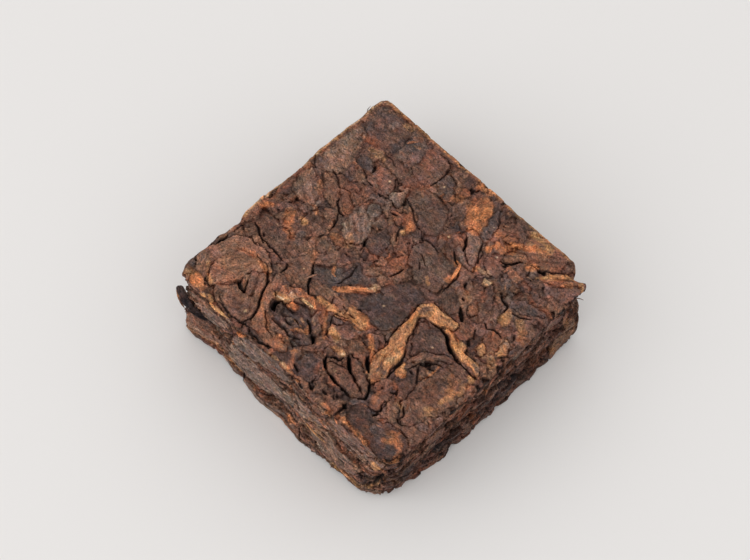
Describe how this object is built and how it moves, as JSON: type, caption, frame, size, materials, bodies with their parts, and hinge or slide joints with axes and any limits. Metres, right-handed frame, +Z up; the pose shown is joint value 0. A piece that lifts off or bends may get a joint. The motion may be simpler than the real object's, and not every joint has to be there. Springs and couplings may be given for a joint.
{
  "type": "mini pressed tea brick",
  "caption": "Small square brick of dark pressed tea: curled and flat leaves in relief on top, stacked leaf layers at the sides, flat base.",
  "frame": {"origin": "middle of the flat base, on the surface the brick rests on", "axes": "+Z up through the thickness, the brick's straight sides along X and Y, and its worn corner at +X, -Y"},
  "size_m": [0.0238, 0.0236, 0.0093],
  "materials": {
    "pressed_tea": "dry pressed leaf, dark brown with rust and golden flakes, rough with a faint sheen"
  },
  "bodies": {
    "root": {"tea_brick": "pressed_tea"}
  },
  "joints": []
}
